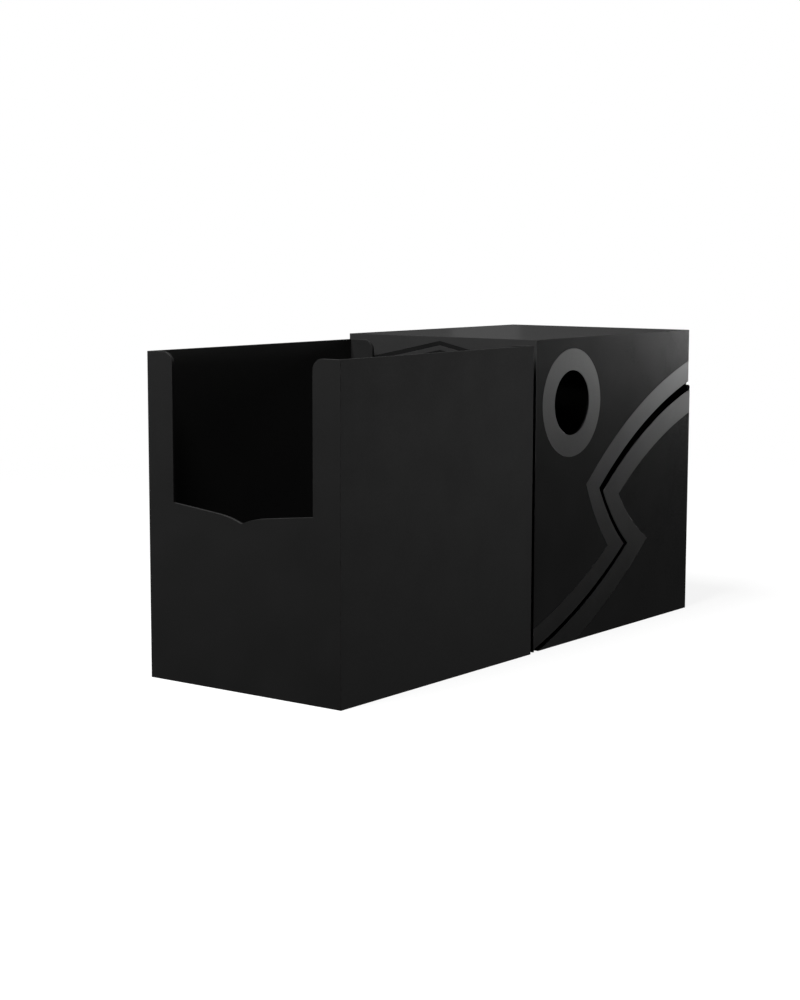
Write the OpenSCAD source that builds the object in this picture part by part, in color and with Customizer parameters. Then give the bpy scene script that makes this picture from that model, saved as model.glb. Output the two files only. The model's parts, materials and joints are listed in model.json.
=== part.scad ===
// Card deck box: a loose open-top card tray and the two-part hinged shell that houses it.
// X runs across the box, Y from the tray towards the shell's hinge, Z up.
// The origin is at the centre of the whole object's footprint.

/* [Card tray] */
// Outer width of the tray
tray_w = 74.2; // [70:0.1:74.3]
// Outer length of the tray, along the row of cards
tray_l = 99; // [60:0.1:99]
// Height of the tray
tray_h = 100; // [95:0.5:100]
// Thickness of the tray's walls and floor
tray_wall = 1; // [0.8:0.1:2]
// Width of the finger notch in each end wall
notch_w = 54; // [40:1:60]
// Height of the notch's floor at its sides
notch_side_z = 54.8; // [40:0.1:70]
// Drop of the notch's floor from its sides to the start of the centre point
notch_slope_drop = 1.9; // [0:0.1:4]
// Half width of the centre point in the notch's floor
point_half = 9; // [5:0.5:12]
// Radius of the shoulders that fall to the centre point
point_r = 33; // [30:1:60]
// Radius of the notch's upper corners
notch_corner_r = 3.5; // [1:0.5:6]

/* [Shell] */
// Outer width of the shell
shell_w = 76; // [75.9:0.1:80]
// Outer length of the shell, from the lid's front to the base's back
shell_l = 102.4; // [102.4:0.1:106]
// Height of the closed shell
shell_h = 101.7; // [101.7:0.1:106]
// Thickness of the shell's side walls, floor and top
shell_wall = 0.75; // [0.6:0.05:0.85]
// Thickness of the lid's front panel
front_wall = 0.9; // [0.8:0.05:1]
// Thickness of the lid's back wall
lid_back_wall = 0.8; // [0.6:0.05:0.9]
// Thickness of the base's back wall
base_back_wall = 1.1; // [0.9:0.05:1.2]
// How far the lid's back face lies in front of the base's back face
lid_back_inset = 1.2; // [1.1:0.05:1.4]
// Radius of the shell's upright corners
corner_r = 0.1; // [0.1:0.05:0.6]
// Radius of the eye hole through each side of the lid
eye_r = 10.7; // [8:0.1:12]
// Outer radius of the satin ring around the eye hole
eye_ring_r = 17.9; // [14:0.1:19]
// Distance of the eye's centre behind the shell's front face
eye_y = 22; // [19.5:0.1:26]
// Height of the eye's centre
eye_z = 80.3; // [78:0.1:81.5]

/* [Jaw line] */
// Radius of the long upper arc, which runs down from the hinge
upper_r = 163.75; // [163.75]
// Radius of the middle arc, which is struck about the hinge so the jaws swing clear
middle_r = 67.9; // [67.9]
// Radius of the long lower arc, which runs down to the front foot
lower_r = 196.4; // [196.4]
// Width of the open seam along the middle and lower arcs
seam_gap = 1.6; // [0.8:0.05:1.8]
// Width of the open seam at the front end of the upper arc
seam_gap_vertex = 2.7; // [2.2:0.05:2.8]
// Width of the open seam at the hinge end of the upper arc
seam_gap_hinge = 3.2; // [2.9:0.05:3.3]
// How far the lid's satin band reaches from the jaw line, on the upper, middle and lower arcs
lid_band = [7.9, 7.7, 7.4]; // [5:0.1:10]
// How far the base's satin band reaches from the jaw line, on the upper, middle and lower arcs
base_band = [8.7, 8.5, 8.9]; // [5:0.1:10]
// Thickness of the satin inlays
inlay_t = 0.25; // [0.15:0.05:0.4]
// Side gap around an inlay in its recess
inlay_gap = 0.04; // [0.02:0.01:0.1]

/* [Hinge] */
// Height of the hinge axis
hinge_z = 80.85; // [80.7:0.05:81]
// Outer radius of the hinge knuckles
knuckle_r = 1.05; // [1:0.05:1.05]
// Radius of the steel hinge pin
pin_r = 0.5; // [0.4:0.05:0.55]
// Radial clearance of the pin in the lid's knuckles
pin_play = 0.05; // [0.02:0.01:0.1]
// End gap between neighbouring knuckles
knuckle_gap = 0.25; // [0.2:0.05:0.5]
// Radial room around the lid's knuckles in the base's back wall
swing_gap = 0.3; // [0.25:0.05:0.4]
// Length of each hinge cap
cap_t = 0.75; // [0.6:0.05:0.85]

/* [Front ornament] */
// Height of the ornament's centre on the front panel
ornament_z = 52; // [50:0.5:52]
// Half height of the outermost gem outline
gem_h = 48.2; // [40:0.1:48.2]
// Half width of the outermost gem outline
gem_w = 31; // [26:0.5:33]
// Slope of the gem's pointed ends, in degrees
gem_slope = 12; // [8:1:20]
// Width of each outline's stroke
stroke_w = 1.3; // [0.8:0.1:2]
// Distance from one outline to the next
gem_step = 2.9; // [2.4:0.1:4]
// Half width of the solid gem in the middle
core_w = 7.5; // [5:0.5:12]

/* [Placing] */
// Gap between the tray's back face and the shell's front face
stand_gap = 3; // [2:0.1:6]
// How far the tray's centre line lies to the right of the shell's
stand_offset = 1.85; // [0:0.05:2]

/* [Hidden] */
$fn = 120;
eps = 0.01;
over = 1;
far = 400;

MOULDED = [0.07, 0.07, 0.075];
SATIN = [0.27, 0.27, 0.28];
GLOSS = [0.16, 0.16, 0.165];
STEEL = [0.6, 0.6, 0.62];

total_l = tray_l + stand_gap + shell_l;
tray_x = (stand_offset - tray_w / 2 + shell_w / 2) / 2;
shell_x = tray_x - stand_offset;
tray_y = -total_l / 2;
shell_y = total_l / 2 - shell_l;

// The notch's floor slopes in, then falls along a round shoulder to its centre point.
slope_angle = atan2(notch_slope_drop, notch_w / 2 - point_half);
point_start_z = notch_side_z - notch_slope_drop;
shoulder = [point_half + point_r * sin(slope_angle), point_start_z - point_r * cos(slope_angle)];
point_z = shoulder.y + sqrt(pow(point_r, 2) - pow(shoulder.x, 2));

hinge_y = shell_l - knuckle_r;

// Centres of the jaw line's arcs, as [distance behind the shell's front, height].
upper_c = [146.8, -75.8];
middle_c = [101.3, 81.7];
lower_c = [-57.4, 187.8];
// Outward direction of the upper arc along Y, at the hinge and at its front end, the vertex.
vertex_y = 42;
upper_dir_hinge = (hinge_y - upper_c.x) / upper_r;
upper_dir_vertex = (vertex_y - upper_c.x) / upper_r;
// The lid's and the base's upper arcs part evenly: a shift of centre and a change of radius.
part_shift = (seam_gap_hinge - seam_gap_vertex) / (upper_dir_hinge - upper_dir_vertex);
part_grow = seam_gap_hinge - seam_gap - part_shift * upper_dir_hinge;

lid_back_y = shell_l - lid_back_inset;
knuckle_span = shell_w - 2 * cap_t;
knuckle_count = 5;
knuckle_pitch = knuckle_span / knuckle_count;
web_t = 1.1;
web_drop = 1.4;
lid_web_rise = 3.8;
rib_clear = 0.15;
rib_t = 0.8;
rib_drop = 0.95;
rib_w = notch_w - 4;
sill_t = 1.85;
sill_h = 1.2;
sill_clear = 0.5;

gem_count = 3;

// ---------- helpers ----------

// Moves a child from the tray's own frame, whose origin is at the middle of its front edge.
module at_tray() { translate([tray_x, tray_y, 0]) children(); }

// Moves a child from the shell's own frame, whose origin is at the middle of its front edge.
module at_shell() { translate([shell_x, shell_y, 0]) children(); }

// Stands a flat outline of [Y, Z] points up and gives it a thickness along X, from x0.
module side_plate(x0, t) { translate([x0, 0, 0]) rotate([90, 0, 90]) linear_extrude(t) children(); }

// Stands a flat outline of [X, Z] points up and gives it a thickness along Y, from y0.
module end_plate(y0, t) { translate([0, y0 + t, 0]) rotate([90, 0, 0]) linear_extrude(t) children(); }

// A block with round upright edges, centred on X, from y = 0.
module upright_block(w, l, h, r) {
  linear_extrude(h) {
    translate([-w / 2 + r, 0]) square([w - 2 * r, l]);
    translate([-w / 2, r]) square([w, l - 2 * r]);
    for (x = [-w / 2 + r, w / 2 - r], y = [r, l - r]) translate([x, y]) circle(r);
  }
}

// A rod along X, centred on x = 0, on the hinge axis.
module hinge_rod(r, length, x = 0) {
  translate([x, hinge_y, hinge_z]) rotate([0, 90, 0]) cylinder(r = r, h = length, center = true);
}

// ---------- card tray ----------

// Outline of the finger notch: straight sides, round upper corners and a pointed floor.
module notch_outline() {
  half = notch_w / 2;
  difference() {
    polygon([
      [-half, tray_h + eps], [-half, notch_side_z], [-point_half, point_start_z], [0, point_z],
      [point_half, point_start_z], [half, notch_side_z], [half, tray_h + eps]
    ]);
    for (side = [-1, 1]) translate([side * shoulder.x, shoulder.y]) circle(point_r);
  }
  for (side = [-1, 1]) scale([side, 1]) difference() {
    translate([half - eps, tray_h - notch_corner_r]) square([notch_corner_r + eps, notch_corner_r + eps]);
    translate([half + notch_corner_r, tray_h - notch_corner_r]) circle(notch_corner_r);
  }
}

module card_tray() {
  color(MOULDED) at_tray() difference() {
    upright_block(tray_w, tray_l, tray_h, corner_r);
    translate([-tray_w / 2 + tray_wall, tray_wall, tray_wall])
      cube([tray_w - 2 * tray_wall, tray_l - 2 * tray_wall, tray_h]);
    end_plate(-eps, tray_wall + 2 * eps) notch_outline();
    end_plate(tray_l - tray_wall - eps, tray_wall + 2 * eps) notch_outline();
  }
}

// ---------- jaw line ----------

// The base's share of the shell's side, in [Y, Z]. Its edge is moved towards the lid by grow,
// given for the upper, middle and lower arcs, and part sets its share of the seam's widening.
module jaw_share(grow, part) {
  intersection() {
    square(far);
    translate([upper_c.x + part * part_shift, upper_c.y]) circle(upper_r + grow[0] + part * part_grow);
    union() {
      translate(middle_c) circle(middle_r + grow[1]);
      difference() {
        square(far);
        translate(lower_c) circle(lower_r - grow[2]);
      }
    }
  }
}

lid_edge = [seam_gap, seam_gap, seam_gap] / 2;
base_edge = -lid_edge;

// The lid's share of the side: everything on the far side of the seam.
module lid_share() {
  difference() {
    square([shell_l, shell_h]);
    jaw_share(lid_edge, 0.5);
  }
}

// The base's share of the side, up to the seam.
module base_share() {
  intersection() {
    square([shell_l, shell_h]);
    jaw_share(base_edge, -0.5);
  }
}

// Flat part of a side face on which inlays lie, from the front corner to the back face y1.
module inlay_field(y1) {
  translate([corner_r, corner_r]) square([y1 - 2 * corner_r, shell_h - 2 * corner_r]);
}

// Outline of the lid's satin band. room widens it into its recess.
module lid_band_outline(room = 0) {
  intersection() {
    inlay_field(lid_back_y);
    difference() {
      jaw_share(lid_band + [room, room, room], 0.5);
      jaw_share(lid_edge - [room, room, room], 0.5);
    }
  }
}

// Outline of the base's satin band. room widens it into its recess.
module base_band_outline(room = 0) {
  intersection() {
    inlay_field(shell_l);
    difference() {
      jaw_share(base_edge + [room, room, room], -0.5);
      jaw_share(-base_band - [room, room, room], -0.5);
    }
    difference() {
      square(far);
      translate([hinge_y, hinge_z]) circle(knuckle_r + 2 * inlay_gap);
    }
  }
}

module eye_ring_outline(room = 0) {
  translate([eye_y, eye_z]) difference() {
    circle(eye_ring_r + room);
    circle(eye_r);
  }
}

// Gives an outline the inlay's thickness, flush with the shell's left (-1) or right (1) side face.
module inlay(side) {
  side_plate(side > 0 ? shell_w / 2 - inlay_t : -shell_w / 2, inlay_t) children();
}

// Cuts an inlay's recess, open to the outside.
module recess(side) {
  side_plate(side > 0 ? shell_w / 2 - inlay_t : -shell_w / 2 - over, inlay_t + over) children();
}

// ---------- hinge ----------

// Knuckle i of the hinge, counted from the left. Even knuckles belong to the base.
module knuckle(i, r, room = 0) {
  hinge_rod(r, knuckle_pitch - knuckle_gap + 2 * room, (i - (knuckle_count - 1) / 2) * knuckle_pitch);
}

// Web that ties knuckle i to a wall: t thick from y0, and h high from z0.
module web(i, y0, z0, t, h) {
  length = knuckle_pitch - knuckle_gap;
  x = (i - (knuckle_count - 1) / 2) * knuckle_pitch;
  translate([x - length / 2, y0, z0]) cube([length, t, h]);
}

// The lid's back wall drawn down over the hinge, and a rib inside it between the tray's back posts.
// Together they close the view out past the knuckles. Their underside is hollowed to swing clear.
module lid_hinge_cover() {
  wall_y = lid_back_y - lid_back_wall;
  difference() {
    union() {
      translate([-knuckle_span / 2, wall_y, hinge_z]) cube([knuckle_span, lid_back_wall, lid_web_rise]);
      translate([-rib_w / 2, wall_y - rib_t, hinge_z - rib_drop])
        cube([rib_w, rib_t + eps, rib_drop + lid_web_rise]);
    }
    hinge_rod(knuckle_r + rib_clear, shell_w);
  }
}

// A sill inside the base's back wall, just below the lid's rib and hollowed round the knuckles.
// It closes the view in below the lid's knuckles.
module base_hinge_sill() {
  difference() {
    translate([-rib_w / 2, shell_l - base_back_wall - sill_t, hinge_z - rib_drop - rib_clear - sill_h])
      cube([rib_w, sill_t + eps, sill_h]);
    hinge_rod(knuckle_r + sill_clear, shell_w);
  }
}

module hinge_pin() { color(STEEL) at_shell() hinge_rod(pin_r, knuckle_span); }

// A cap that closes the pin's bore, flush with the shell's left (-1) or right (1) side face.
module hinge_cap(side) {
  color(MOULDED) at_shell() hinge_rod(knuckle_r, cap_t, side * (shell_w - cap_t) / 2);
}
module hinge_cap_left() { hinge_cap(-1); }
module hinge_cap_right() { hinge_cap(1); }

// ---------- shell ----------

module base_shell() {
  color(MOULDED) at_shell() difference() {
    union() {
      intersection() {
        difference() {
          upright_block(shell_w, shell_l, shell_h, corner_r);
          translate([-shell_w / 2 + shell_wall, -over, shell_wall])
            cube([shell_w - 2 * shell_wall, shell_l - base_back_wall + over, shell_h]);
        }
        side_plate(-shell_w, 2 * shell_w) base_share();
      }
      for (i = [0 : 2 : knuckle_count - 1]) {
        knuckle(i, knuckle_r);
        web(i, shell_l - web_t, hinge_z - web_drop, web_t, web_drop);
      }
      base_hinge_sill();
    }
    for (i = [1 : 2 : knuckle_count - 1]) knuckle(i, knuckle_r + swing_gap, knuckle_gap);
    hinge_rod(pin_r, shell_w + over);
    for (side = [-1, 1]) {
      hinge_rod(knuckle_r, cap_t + over, side * (shell_w + over - cap_t) / 2);
      recess(side) base_band_outline(inlay_gap);
    }
  }
}

module lid_shell() {
  color(MOULDED) at_shell() difference() {
    union() {
      intersection() {
        difference() {
          upright_block(shell_w, lid_back_y, shell_h, corner_r);
          translate([-shell_w / 2 + shell_wall, front_wall, -over])
            cube([
              shell_w - 2 * shell_wall, lid_back_y - front_wall - lid_back_wall, shell_h - shell_wall + over
            ]);
        }
        side_plate(-shell_w, 2 * shell_w) lid_share();
      }
      for (i = [1 : 2 : knuckle_count - 1]) {
        knuckle(i, knuckle_r);
        web(i, lid_back_y - lid_back_wall, hinge_z, lid_back_wall, lid_web_rise);
      }
      lid_hinge_cover();
    }
    hinge_rod(pin_r + pin_play, shell_w + over);
    side_plate(-shell_w, 2 * shell_w) translate([eye_y, eye_z]) circle(eye_r);
    for (side = [-1, 1]) recess(side) {
      lid_band_outline(inlay_gap);
      eye_ring_outline(inlay_gap);
    }
    end_plate(-over, over + inlay_t) front_ornament_outline(inlay_gap);
  }
}

// ---------- satin inlays ----------

module lid_band_left() { color(SATIN) at_shell() inlay(-1) lid_band_outline(); }
module lid_band_right() { color(SATIN) at_shell() inlay(1) lid_band_outline(); }
module base_band_left() { color(SATIN) at_shell() inlay(-1) base_band_outline(); }
module base_band_right() { color(SATIN) at_shell() inlay(1) base_band_outline(); }
module eye_ring_left() { color(SATIN) at_shell() inlay(-1) eye_ring_outline(); }
module eye_ring_right() { color(SATIN) at_shell() inlay(1) eye_ring_outline(); }

// A tall six-sided gem with pointed ends. inset draws all its sides in by that much.
module gem(inset) {
  w = gem_w - inset;
  top = gem_h - inset / cos(gem_slope);
  side = top - w * tan(gem_slope);
  polygon([[-w, -side], [0, -top], [w, -side], [w, side], [0, top], [-w, side]]);
}

// Plain nested gem outlines around a solid gem. room widens each stroke into its recess.
module front_ornament_outline(room = 0) {
  translate([0, ornament_z]) {
    for (i = [0 : gem_count - 1]) difference() {
      gem(i * gem_step - room);
      gem(i * gem_step + stroke_w + room);
    }
    gem(gem_w - core_w - room);
  }
}

module front_ornament() { color(GLOSS) at_shell() end_plate(0, inlay_t) front_ornament_outline(); }

card_tray();
base_shell();
lid_shell();
hinge_pin();
hinge_cap_left();
hinge_cap_right();
lid_band_left();
lid_band_right();
base_band_left();
base_band_right();
eye_ring_left();
eye_ring_right();
front_ornament();
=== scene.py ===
import json
import math

import bmesh
import bpy
from mathutils import Matrix, Vector

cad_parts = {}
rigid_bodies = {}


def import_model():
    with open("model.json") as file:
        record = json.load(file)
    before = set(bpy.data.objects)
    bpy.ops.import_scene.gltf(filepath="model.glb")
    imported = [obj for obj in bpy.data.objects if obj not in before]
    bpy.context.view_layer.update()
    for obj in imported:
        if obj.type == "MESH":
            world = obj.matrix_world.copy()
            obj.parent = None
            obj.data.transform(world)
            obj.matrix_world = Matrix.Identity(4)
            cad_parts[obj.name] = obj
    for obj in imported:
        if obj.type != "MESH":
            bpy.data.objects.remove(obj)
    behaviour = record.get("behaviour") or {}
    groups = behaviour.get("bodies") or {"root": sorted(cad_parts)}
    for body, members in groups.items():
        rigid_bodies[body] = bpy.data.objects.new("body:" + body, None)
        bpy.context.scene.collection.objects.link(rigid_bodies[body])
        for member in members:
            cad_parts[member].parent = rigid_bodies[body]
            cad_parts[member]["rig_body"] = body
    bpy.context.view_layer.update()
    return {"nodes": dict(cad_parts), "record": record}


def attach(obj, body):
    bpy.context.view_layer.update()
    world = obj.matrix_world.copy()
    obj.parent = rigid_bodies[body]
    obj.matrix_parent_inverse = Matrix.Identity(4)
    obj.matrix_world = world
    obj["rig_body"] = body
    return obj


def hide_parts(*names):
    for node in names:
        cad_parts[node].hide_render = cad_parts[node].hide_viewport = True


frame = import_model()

# A card deck box: a loose card tray stands in front of the hinged two-part shell that houses it.
# The CAD model gives every shape and place. This script rounds the moulded edges as a tool leaves
# them, adds the marks of moulding, and builds the materials, the studio and the camera.

MM = 0.001

# ---------- rounded mouldings ----------

# The radius, in mm, of each CAD node's edges.
EDGE_RADIUS = {
    "card_tray": 0.07,
    "base_shell": 0.06,
    "lid_shell": 0.06,
    "hinge_pin": 0.1,
    "hinge_cap_left": 0.06,
    "hinge_cap_right": 0.06,
    "lid_band_left": 0.05,
    "lid_band_right": 0.05,
    "base_band_left": 0.05,
    "base_band_right": 0.05,
    "eye_ring_left": 0.05,
    "eye_ring_right": 0.05,
    "front_ornament": 0.05,
}
EDGE_SEGMENTS = 3
SHARP_ANGLE = math.radians(30)
FLAT_ANGLE = math.radians(0.5)
WELD = 0.002 * MM
EDGE_SLOT = 1  # the bevel puts its faces in this material slot, which marks them as edges
EVEN_WEIGHT = 100  # how strongly the wide flat faces set the shading of the edges beside them


def welded_copy(node, name):
    """A new object with the node's surface as closed, flat-sided faces."""
    mesh = frame["nodes"][node].data.copy()
    mesh.name = name
    shape = bmesh.new()
    shape.from_mesh(mesh)
    bmesh.ops.remove_doubles(shape, verts=shape.verts, dist=WELD)
    bmesh.ops.dissolve_limit(shape, angle_limit=FLAT_ANGLE, verts=shape.verts, edges=shape.edges)
    shape.to_mesh(mesh)
    shape.free()
    mesh.materials.clear()
    piece = bpy.data.objects.new(name, mesh)
    bpy.context.scene.collection.objects.link(piece)
    return piece


# Round marks of moulding, in mm. A gate mark is a ring that leaves a core standing.
PIN_MARK = {"radius": 2.6, "depth": 0.15, "core": 0}
GATE_MARK = {"radius": 2.2, "depth": 0.25, "core": 0.7}
# The marks on each node: the kind, the height of the flat face they sit on, +1 for a face that
# looks up or -1 for one that looks down, and their centres.
MOULD_MARKS = {
    "card_tray": (
        (PIN_MARK, 1.0, 1, [(x, y) for x in (-24.6, 27.4) for y in (-92, -70, -35.4, -13.4)]),
        (GATE_MARK, 0.0, -1, [(1.4, -52.7)]),
    ),
    "base_shell": (
        (PIN_MARK, 0.75, 1, [(x, y) for x in (-26.5, 25.5) for y in (38, 64, 90)]),
        (GATE_MARK, 0.0, -1, [(-0.5, 58)]),
    ),
    "lid_shell": ((PIN_MARK, 100.95, -1, [(x, y) for x in (-26.5, 25.5) for y in (14, 50, 88)]),),
}
MARK_SEGMENTS = 48
MARK_CLEARANCE = 0.5  # how far, in mm, a mark's cutter stands out of its face
LEVEL = 0.999  # a face whose normal rises or falls by this much of its length is flat


def add_mark_cutter(shape, mark, face_z, side, x, y):
    """A flat disc that sinks into a face, or a flat ring if the mark keeps its core."""
    rings = []  # the outer circle sunk and standing out, then the core's two in the same order
    for radius in (mark["radius"], mark["core"]):
        for height in (face_z - side * mark["depth"], face_z + side * MARK_CLEARANCE):
            if radius:
                place = Matrix.Translation(Vector((x, y, height)) * MM)
                circle = {"segments": MARK_SEGMENTS, "radius": radius * MM, "matrix": place}
                rings.append(bmesh.ops.create_circle(shape, **circle)["verts"])
    for i in range(MARK_SEGMENTS):
        j = (i + 1) % MARK_SEGMENTS
        shape.faces.new((rings[0][i], rings[0][j], rings[1][j], rings[1][i]))
        if len(rings) > 2:
            shape.faces.new((rings[2][j], rings[2][i], rings[3][i], rings[3][j]))
            shape.faces.new((rings[0][j], rings[0][i], rings[2][i], rings[2][j]))
            shape.faces.new((rings[1][i], rings[1][j], rings[3][j], rings[3][i]))
    if len(rings) == 2:
        shape.faces.new(rings[0])
        shape.faces.new(rings[1])


def score_face(shape, face_z, side, x, y):
    """Splits a flat face along X and Y through a mark, so that the mark leaves no face with a hole."""
    for normal in ((1, 0, 0), (0, 1, 0)):
        faces = [
            face for face in shape.faces
            if face.normal.z * side > LEVEL and abs(face.verts[0].co.z - face_z * MM) < WELD
        ]
        edges = list(dict.fromkeys(edge for face in faces for edge in face.edges))
        verts = list(dict.fromkeys(vert for face in faces for vert in face.verts))
        centre = Vector((x, y, face_z)) * MM
        split = faces + edges + verts
        bmesh.ops.bisect_plane(shape, geom=split, dist=WELD, plane_co=centre, plane_no=normal)


def sink_mould_marks(piece, node):
    """Cuts a node's ejector pin marks and its gate mark into it."""
    if node not in MOULD_MARKS:
        return
    scored = bmesh.new()
    scored.from_mesh(piece.data)
    shape = bmesh.new()
    for mark, face_z, side, centres in MOULD_MARKS[node]:
        for x, y in centres:
            score_face(scored, face_z, side, x, y)
            add_mark_cutter(shape, mark, face_z, side, x, y)
    scored.to_mesh(piece.data)
    scored.free()
    bmesh.ops.recalc_face_normals(shape, faces=shape.faces)
    mesh = bpy.data.meshes.new(node + "_marks")
    shape.to_mesh(mesh)
    shape.free()
    cutter = bpy.data.objects.new(node + "_marks", mesh)
    bpy.context.scene.collection.objects.link(cutter)
    cut = piece.modifiers.new("marks", "BOOLEAN")
    cut.operation = "DIFFERENCE"
    cut.solver = "EXACT"
    cut.object = cutter
    bake_modifiers(piece)
    bpy.data.objects.remove(cutter)


def bake_modifiers(piece):
    """Makes the mesh with its modifiers the piece's own mesh."""
    evaluated = piece.evaluated_get(bpy.context.evaluated_depsgraph_get())
    mesh = bpy.data.meshes.new_from_object(evaluated)
    piece.modifiers.clear()
    piece.data = mesh


def mark_edges(mesh):
    """Stores which faces are rounded edges, for the wear in the materials."""
    marks = mesh.attributes.new("edge", "FLOAT", "FACE")
    for face, mark in zip(mesh.polygons, marks.data):
        mark.value = float(face.material_index == EDGE_SLOT)
        face.material_index = 0
        face.use_smooth = True


def round_edges(piece, radius, material):
    """Rounds every sharp edge, and keeps the flat faces flat to the light."""
    piece.data.materials.append(material)
    piece.data.materials.append(material)
    bevel = piece.modifiers.new("rounded", "BEVEL")
    bevel.width = radius
    bevel.segments = EDGE_SEGMENTS
    bevel.limit_method = "ANGLE"
    bevel.angle_limit = SHARP_ANGLE
    bevel.use_clamp_overlap = False
    bevel.material = EDGE_SLOT
    bake_modifiers(piece)
    mark_edges(piece.data)
    piece.data.materials.pop()
    normals = piece.modifiers.new("even", "WEIGHTED_NORMAL")
    normals.keep_sharp = True
    normals.weight = EVEN_WEIGHT
    bake_modifiers(piece)


def finish_node(node, material):
    """Replaces a CAD node with its rounded and finished piece."""
    body = frame["nodes"][node]["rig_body"]
    piece = welded_copy(node, node + "_finished")
    sink_mould_marks(piece, node)
    round_edges(piece, EDGE_RADIUS[node] * MM, material)
    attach(piece, body)
    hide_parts(node)
    return piece


# ---------- materials ----------

# In the recipes, a pair of numbers is the low and the high end of a range, and a relief's depth is
# in metres.


PLASTIC_IOR = 1.5
CAP_IOR = 1.4
CAP_SPECULAR = 0.12  # dull, as the caps' rough surface scatters its highlights


class Recipe:
    """One procedural material, built node by node around a Principled shader."""

    def __init__(self, name, **constants):
        self.material = bpy.data.materials.new(name)
        self.material.use_nodes = True
        self.tree = self.material.node_tree
        self.shader = self.tree.nodes["Principled BSDF"]
        for socket, value in constants.items():
            self.shader.inputs[socket.replace("_", " ")].default_value = value
        self.place = self.tree.nodes.new("ShaderNodeTexCoord").outputs["Object"]

    def add(self, kind, settings, inputs):
        """Adds a node. An input is a number or another node's output."""
        node = self.tree.nodes.new(kind)
        for name, value in settings.items():
            setattr(node, name, value)
        for socket, value in inputs.items():
            if isinstance(value, bpy.types.NodeSocket):
                self.tree.links.new(value, node.inputs[socket])
            else:
                node.inputs[socket].default_value = value
        return node

    def noise(self, size, detail=2, stretch=(1, 1, 1)):
        """Cloudy noise from 0 to 1 whose blotches are about size metres across."""
        scaled = self.add("ShaderNodeMapping", {}, {"Vector": self.place, "Scale": stretch})
        inputs = {"Vector": scaled.outputs[0], "Scale": 1 / size, "Detail": detail}
        return self.add("ShaderNodeTexNoise", {}, inputs).outputs["Fac"]

    def spread(self, value, low, high, start=0.3, end=0.7):
        """Maps start..end of a value onto low..high."""
        inputs = {"Value": value, "From Min": start, "From Max": end, "To Min": low, "To Max": high}
        return self.add("ShaderNodeMapRange", {}, inputs).outputs["Result"]

    def combine(self, operation, a, b):
        """Joins two values with one math operation."""
        return self.add("ShaderNodeMath", {"operation": operation}, {0: a, 1: b}).outputs[0]

    def edge_mask(self, patch_size):
        """1 on patches of the rounded edges, 0 elsewhere."""
        edge = self.add("ShaderNodeAttribute", {"attribute_name": "edge"}, {}).outputs["Fac"]
        patches = self.spread(self.noise(patch_size, detail=3), 0, 1, start=0.4, end=0.65)
        return self.combine("MULTIPLY", edge, patches)

    def bump(self, height, depth, below=None):
        """A relief of the given depth in metres, on top of another relief."""
        inputs = {"Height": height, "Distance": depth, "Strength": 1.0}
        if below is not None:
            inputs["Normal"] = below
        return self.add("ShaderNodeBump", {}, inputs).outputs["Normal"]

    def paint(self, socket, output):
        """Feeds a varying value to the shader."""
        self.tree.links.new(output, self.shader.inputs[socket])


def matte_plastic():
    """The tray's black plastic, with the fine sparked texture of its mould."""
    recipe = Recipe("tray_plastic", IOR=PLASTIC_IOR)
    sparks = recipe.noise(0.45 * MM, detail=3)
    clouds = recipe.noise(14 * MM, detail=3)
    speckle = recipe.spread(sparks, 0.85, 1.15)
    tone = recipe.combine("MULTIPLY", speckle, recipe.spread(clouds, 0.0032, 0.004))
    worn = recipe.combine("MULTIPLY", recipe.edge_mask(3 * MM), 0.004)
    recipe.paint("Base Color", recipe.combine("ADD", tone, worn))
    rough = recipe.combine("ADD", recipe.spread(clouds, 0.61, 0.66), recipe.spread(sparks, -0.03, 0.03))
    recipe.paint("Roughness", rough)
    waves = recipe.bump(recipe.noise(9 * MM, detail=1), 0.012 * MM)
    recipe.paint("Normal", recipe.bump(sparks, 0.012 * MM, waves))
    return recipe.material


def smooth_plastic():
    """The shell's smoother black plastic, with faint handling marks."""
    recipe = Recipe("shell_plastic", IOR=PLASTIC_IOR)
    grain = recipe.noise(0.3 * MM)
    clouds = recipe.noise(18 * MM, detail=3)
    rubbed = recipe.noise(5 * MM, detail=5, stretch=(1, 0.6, 1))
    scuffs = recipe.spread(rubbed, 0, 1, start=0.6, end=0.72)
    tone = recipe.combine("MULTIPLY", recipe.spread(grain, 0.94, 1.06), recipe.spread(clouds, 0.034, 0.038))
    worn = recipe.combine("MULTIPLY", recipe.edge_mask(4 * MM), 0.008)
    recipe.paint("Base Color", recipe.combine("ADD", tone, worn))
    scuffed = recipe.combine("MULTIPLY", scuffs, 0.012)
    recipe.paint("Roughness", recipe.combine("ADD", recipe.spread(clouds, 0.198, 0.208), scuffed))
    waves = recipe.bump(recipe.noise(7 * MM, detail=1), 0.004 * MM)
    recipe.paint("Normal", recipe.bump(grain, 0.001 * MM, waves))
    return recipe.material


def satin_trim():
    """The dark satin metallic inlays, with a fine even grain."""
    recipe = Recipe("satin_trim", Metallic=1.0)
    grain = recipe.noise(0.22 * MM, detail=3)
    clouds = recipe.noise(11 * MM, detail=3)
    tone = recipe.combine("MULTIPLY", recipe.spread(grain, 0.93, 1.07), recipe.spread(clouds, 0.202, 0.215))
    recipe.paint("Base Color", tone)
    rough = recipe.combine("ADD", recipe.spread(clouds, 0.305, 0.317), recipe.spread(grain, -0.015, 0.015))
    recipe.paint("Roughness", rough)
    recipe.paint("Normal", recipe.bump(grain, 0.001 * MM))
    return recipe.material


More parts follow.
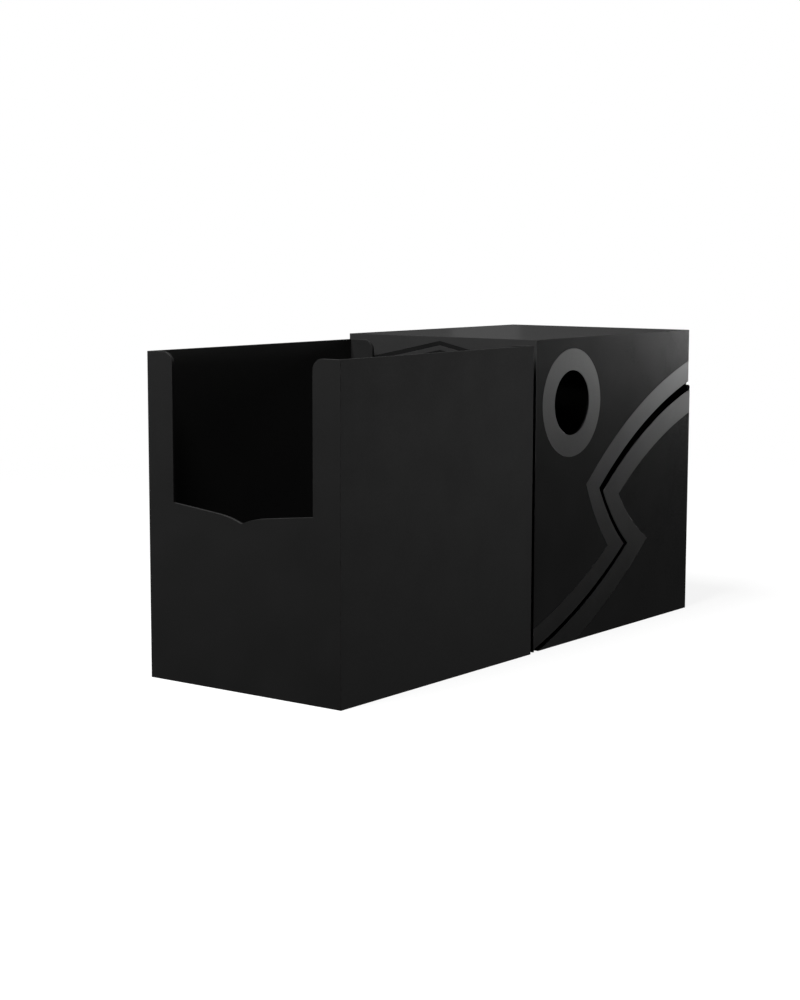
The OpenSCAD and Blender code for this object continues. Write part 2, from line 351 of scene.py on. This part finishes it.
def gloss_trim():
    """The polished black gem outlines of the front panel."""
    recipe = Recipe("gloss_trim", IOR=PLASTIC_IOR)
    clouds = recipe.noise(8 * MM, detail=3)
    recipe.paint("Base Color", recipe.spread(clouds, 0.011, 0.014))
    recipe.paint("Roughness", recipe.spread(clouds, 0.1, 0.16))
    recipe.paint("Normal", recipe.bump(recipe.noise(5 * MM, detail=1), 0.003 * MM))
    return recipe.material


def cap_plastic():
    """The hinge caps' dull black plastic, with pressing lines."""
    recipe = Recipe("cap_plastic", IOR=CAP_IOR, Specular_IOR_Level=CAP_SPECULAR)
    lines = recipe.noise(0.15 * MM, detail=3, stretch=(1, 0.3, 1))
    recipe.paint("Base Color", recipe.spread(lines, 0.002, 0.004))
    recipe.paint("Roughness", recipe.spread(lines, 0.75, 0.9))
    recipe.paint("Normal", recipe.bump(lines, 0.003 * MM))
    return recipe.material


def drawn_steel():
    """The hinge pin's drawn steel wire, with fine lines along it."""
    recipe = Recipe("drawn_steel", Metallic=1.0)
    lines = recipe.noise(0.12 * MM, detail=3, stretch=(0.02, 1, 1))
    recipe.paint("Base Color", recipe.spread(lines, 0.42, 0.58))
    recipe.paint("Roughness", recipe.spread(lines, 0.24, 0.4))
    recipe.paint("Normal", recipe.bump(lines, 0.002 * MM))
    return recipe.material


# ---------- studio ----------

WHITE = (1, 1, 1, 1)
AIM = Vector((0, 20, 60)) * MM  # the point that every light faces

# Softboxes: centre in mm, width and height in mm, and radiance.
SOFTBOXES = {
    "key_above_front": ((-46, -337, 734), (334, 283), 32.5),
    "strip_behind_right": ((321, 887, 97), (80, 102), 20.9),
    "low_right": ((609, 146, 74), (194, 140), 6.6),
    "back_left": ((-330, 545, 150), (260, 80), 0.06),
    "back_left_strip": ((-342, 528, 150), (44, 80), 0.055),
    "fill_left": ((-850, -330, 150), (300, 240), 3.6),
    "fill_behind": ((-80, 900, 260), (400, 300), 4.0),
}


def make_softboxes():
    """Soft area lights that the camera doesn't see."""
    for name, (centre, (width, height), radiance) in SOFTBOXES.items():
        light = bpy.data.lights.new(name, "AREA")
        light.shape = "RECTANGLE"
        light.size = width * MM
        light.size_y = height * MM
        light.energy = radiance * math.pi * light.size * light.size_y
        lamp = bpy.data.objects.new(name, light)
        lamp.location = Vector(centre) * MM
        lamp.rotation_euler = (AIM - lamp.location).to_track_quat("-Z", "Y").to_euler()
        lamp.visible_camera = False
        bpy.context.scene.collection.objects.link(lamp)


FLOOR_REACH = 6.0
FLOOR_SEGMENTS = 96
FLOOR_GLOW = 0.88  # the floor's own light under the box, which grows to 1 with distance
# Where, in metres from the middle, the floor's shadow-taking share starts and ends its fade.
FLOOR_LIT_REACH = (0.2, 0.6)
FLOOR_SHADE = (0.17, 0.18)
FLOOR_CLOUD = 0.4  # the size of the floor's cloudy patches, in metres


def make_floor():
    """A pale floor that is almost white, with a soft shadow where the box stands."""
    mesh = bpy.data.meshes.new("floor")
    shape = bmesh.new()
    bmesh.ops.create_circle(shape, cap_ends=True, radius=FLOOR_REACH, segments=FLOOR_SEGMENTS)
    shape.to_mesh(mesh)
    shape.free()
    floor = bpy.data.objects.new("floor", mesh)
    bpy.context.scene.collection.objects.link(floor)
    recipe = Recipe("pale_floor", Emission_Color=WHITE, Roughness=1.0, Specular_IOR_Level=0)
    length = recipe.add("ShaderNodeVectorMath", {"operation": "LENGTH"}, {0: recipe.place})
    near, far = FLOOR_LIT_REACH
    lit = recipe.spread(length.outputs["Value"], 1, 0, near, far)
    recipe.paint("Emission Strength", recipe.spread(lit, 1, FLOOR_GLOW, 0, 1))
    shade = recipe.spread(recipe.noise(FLOOR_CLOUD, detail=3), *FLOOR_SHADE)
    recipe.paint("Base Color", recipe.combine("MULTIPLY", shade, lit))
    mesh.materials.append(recipe.material)
    floor.visible_diffuse = False
    floor.visible_glossy = False


def make_backdrop():
    """White all round for the camera. The softboxes alone light the box."""
    world = bpy.data.worlds.new("backdrop")
    bpy.context.scene.world = world
    world.use_nodes = True
    background = world.node_tree.nodes["Background"]
    background.inputs["Color"].default_value = WHITE
    background.inputs["Strength"].default_value = 1.0
    world.cycles_visibility.diffuse = False
    world.cycles_visibility.glossy = False
    bpy.context.scene.view_settings.view_transform = "Standard"


# ---------- camera ----------

CAMERA_AT = Vector((382.1, -534.8, 131.7)) * MM
CAMERA_AZIMUTH = math.radians(36.73)  # turned from +Y towards -X
CAMERA_PITCH = math.radians(-7.33)
CAMERA_ROLL = math.radians(0.135)
CAMERA_LENS = 71.33  # mm, on a 36 mm sensor along the picture's long side
CAMERA_NEAR = 0.01


def make_camera():
    """Looks at the box from the front right and slightly above, with the picture's small roll."""
    flat = math.cos(CAMERA_PITCH)
    forward = Vector((
        -math.sin(CAMERA_AZIMUTH) * flat,
        math.cos(CAMERA_AZIMUTH) * flat,
        math.sin(CAMERA_PITCH),
    ))
    level = Vector((math.cos(CAMERA_AZIMUTH), math.sin(CAMERA_AZIMUTH), 0))
    right = math.cos(CAMERA_ROLL) * level + math.sin(CAMERA_ROLL) * level.cross(forward)
    turn = Matrix((right, right.cross(forward), -forward)).transposed()
    camera = bpy.data.objects.new("camera", bpy.data.cameras.new("camera"))
    camera.matrix_world = Matrix.Translation(CAMERA_AT) @ turn.to_4x4()
    camera.data.lens = CAMERA_LENS
    camera.data.clip_start = CAMERA_NEAR
    bpy.context.scene.collection.objects.link(camera)
    bpy.context.scene.camera = camera


# ---------- making ----------

make_camera()
make_backdrop()
make_softboxes()
make_floor()

MATERIALS = {
    "black_moulding": smooth_plastic(),
    "satin_trim": satin_trim(),
    "gloss_trim": gloss_trim(),
    "steel": drawn_steel(),
}
CAP_PLASTIC = cap_plastic()
OWN_MATERIAL = {
    "card_tray": matte_plastic(),
    "hinge_cap_left": CAP_PLASTIC,
    "hinge_cap_right": CAP_PLASTIC,
}
for subpart in frame["record"]["subparts"]:
    node = subpart["node"]
    finish_node(node, OWN_MATERIAL.get(node, MATERIALS[subpart["material_slot"]]))
